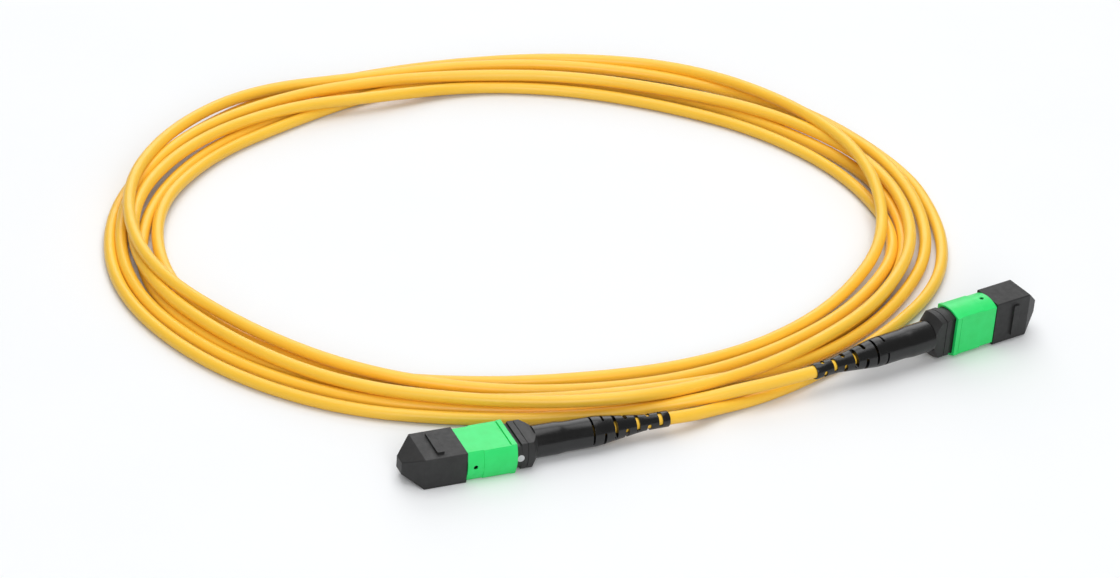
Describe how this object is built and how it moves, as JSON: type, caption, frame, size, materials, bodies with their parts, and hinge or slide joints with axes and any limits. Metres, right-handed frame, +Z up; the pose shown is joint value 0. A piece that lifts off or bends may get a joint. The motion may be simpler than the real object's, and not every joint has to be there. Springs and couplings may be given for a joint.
{
  "type": "coiled fibre patch cord with a multi-fibre push-on connector at each end",
  "caption": "Round yellow fibre cord, loosely coiled, ending in push-on plugs with a green sliding coupling, a slotted tapered boot and a black dust cap.",
  "frame": {"origin": "centre of the near plug's box, on the surface that it lies on", "axes": "+X from the near plug's cap towards its cable, +Z up, normal to its wide faces; the coil lies on the +Y side"},
  "size_m": [0.2087, 0.1808, 0.0122],
  "materials": {
    "cap_black": "matte fine-grained moulding",
    "coupling_green": "satin moulding",
    "housing_black": "matte fine-grained moulding",
    "ferrule_grey": "fine glass-filled moulding",
    "seal_rubber": "soft matt rubber",
    "spacer_plastic": "natural moulding",
    "spring_steel": "bright drawn wire",
    "ribbon_clear": "clear acrylate",
    "aramid_yellow": "fine straight yarns",
    "crimp_metal": "crimped metal",
    "boot_rubber": "satin black elastomer",
    "jacket_yellow": "smooth satin jacket"
  },
  "bodies": {
    "cord": {"near_coupling_spring_left": "spring_steel", "near_coupling_spring_right": "spring_steel", "near_inner_housing": "housing_black", "near_ferrule_spring": "spring_steel", "near_spring_push": "housing_black", "near_aramid_yarn": "aramid_yellow", "near_crimp_ring": "crimp_metal", "near_boot": "boot_rubber", "near_cable_end": "jacket_yellow", "far_coupling_spring_left": "spring_steel", "far_coupling_spring_right": "spring_steel", "far_inner_housing": "housing_black", "far_ferrule_spring": "spring_steel", "far_spring_push": "housing_black", "far_aramid_yarn": "aramid_yellow", "far_crimp_ring": "crimp_metal", "far_boot": "boot_rubber", "far_cable_end": "jacket_yellow", "near_lead": "jacket_yellow", "far_lead": "jacket_yellow", "cable_coil": "jacket_yellow"},
    "near_cap": {"near_dust_cap": "cap_black"},
    "near_coupling": {"near_coupling_housing": "coupling_green"},
    "near_ferrule_set": {"near_mt_ferrule": "ferrule_grey", "near_ferrule_boot": "seal_rubber", "near_pin_spacer": "spacer_plastic", "near_fibre_ribbon": "ribbon_clear"},
    "far_cap": {"far_dust_cap": "cap_black"},
    "far_coupling": {"far_coupling_housing": "coupling_green"},
    "far_ferrule_set": {"far_mt_ferrule": "ferrule_grey", "far_ferrule_boot": "seal_rubber", "far_pin_spacer": "spacer_plastic", "far_fibre_ribbon": "ribbon_clear"}
  },
  "joints": [
    {"name": "near_cap_pull", "type": "slide", "parent": "cord", "child": "near_cap", "axis": [-1, 0, 0], "range_m": [0, 0.03]},
    {"name": "near_coupling_slide", "type": "slide", "parent": "cord", "child": "near_coupling", "axis": [1, 0, 0], "range_m": [0, 0.0012], "stiffness_N_per_m": 200, "springref_m": -0.003, "deforming": ["near_coupling_spring_left", "near_coupling_spring_right"]},
    {"name": "near_ferrule_float", "type": "slide", "parent": "cord", "child": "near_ferrule_set", "axis": [1, 0, 0], "range_m": [0, 0.001], "stiffness_N_per_m": 500, "springref_m": -0.002, "deforming": ["near_ferrule_spring"]},
    {"name": "far_cap_pull", "type": "slide", "parent": "cord", "child": "far_cap", "axis": [0.9803, 0.1977, 0], "range_m": [0, 0.03]},
    {"name": "far_coupling_slide", "type": "slide", "parent": "cord", "child": "far_coupling", "axis": [-0.9803, -0.1977, 0], "range_m": [0, 0.0012], "stiffness_N_per_m": 200, "springref_m": -0.003, "deforming": ["far_coupling_spring_left", "far_coupling_spring_right"]},
    {"name": "far_ferrule_float", "type": "slide", "parent": "cord", "child": "far_ferrule_set", "axis": [-0.9803, -0.1977, 0], "range_m": [0, 0.001], "stiffness_N_per_m": 500, "springref_m": -0.002, "deforming": ["far_ferrule_spring"]}
  ]
}
